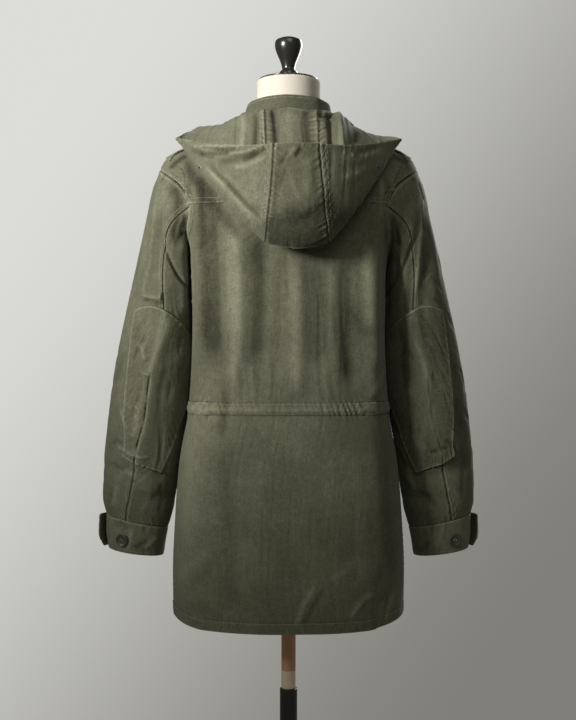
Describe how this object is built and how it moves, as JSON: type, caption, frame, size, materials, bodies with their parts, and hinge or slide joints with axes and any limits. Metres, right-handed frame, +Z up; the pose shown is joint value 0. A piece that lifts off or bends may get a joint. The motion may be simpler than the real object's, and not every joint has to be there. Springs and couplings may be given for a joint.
{
  "type": "field jacket on dress form",
  "caption": "Hip-length hooded field jacket with a drawcord waist, elbow patches and patch pockets, worn back to the viewer by a limbless dress form on a round-based stand.",
  "frame": {"origin": "on the floor under the stand's pole, at the middle of the round base's flat underside", "axes": "+Z up along the pole; +Y the way the wearer faces, so the jacket's back faces -Y; +X to the wearer's right"},
  "size_m": [0.6066, 0.436, 1.539],
  "materials": {
    "olive_cotton": "faded olive drab cotton sateen, matt",
    "dark_button": "dark olive plastic, satin",
    "cream_jersey": "cream jersey cover",
    "black_wood": "black lacquered wood, gloss",
    "black_lacquer": "black lacquered steel, gloss",
    "brown_wood": "stained wood, satin"
  },
  "bodies": {
    "root": {"back_panel": "olive_cotton", "back_yoke": "olive_cotton", "chest_pocket_flap_left": "olive_cotton", "chest_pocket_flap_right": "olive_cotton", "chest_pocket_left": "olive_cotton", "chest_pocket_right": "olive_cotton", "collar": "olive_cotton", "cuff_button_left": "dark_button", "cuff_button_right": "dark_button", "cuff_left": "olive_cotton", "cuff_right": "olive_cotton", "cuff_tab_left": "olive_cotton", "cuff_tab_right": "olive_cotton", "dress_form": "cream_jersey", "elbow_patch_left": "olive_cotton", "elbow_patch_right": "olive_cotton", "epaulette_button_left": "dark_button", "epaulette_button_right": "dark_button", "epaulette_left": "olive_cotton", "epaulette_right": "olive_cotton", "finial": "black_wood", "front_button_1": "dark_button", "front_button_2": "dark_button", "front_button_3": "dark_button", "front_button_4": "dark_button", "front_button_5": "dark_button", "front_button_6": "dark_button", "front_left": "olive_cotton", "front_placket": "olive_cotton", "front_right": "olive_cotton", "hip_pocket_flap_left": "olive_cotton", "hip_pocket_flap_right": "olive_cotton", "hip_pocket_left": "olive_cotton", "hip_pocket_right": "olive_cotton", "hood_centre": "olive_cotton", "hood_left": "olive_cotton", "hood_right": "olive_cotton", "neck_cap": "black_wood", "pole": "brown_wood", "sleeve_under_left": "olive_cotton", "sleeve_under_right": "olive_cotton", "sleeve_upper_left": "olive_cotton", "sleeve_upper_right": "olive_cotton", "stand_base": "black_lacquer", "stand_socket": "black_lacquer", "stand_tube": "black_lacquer"}
  },
  "joints": []
}
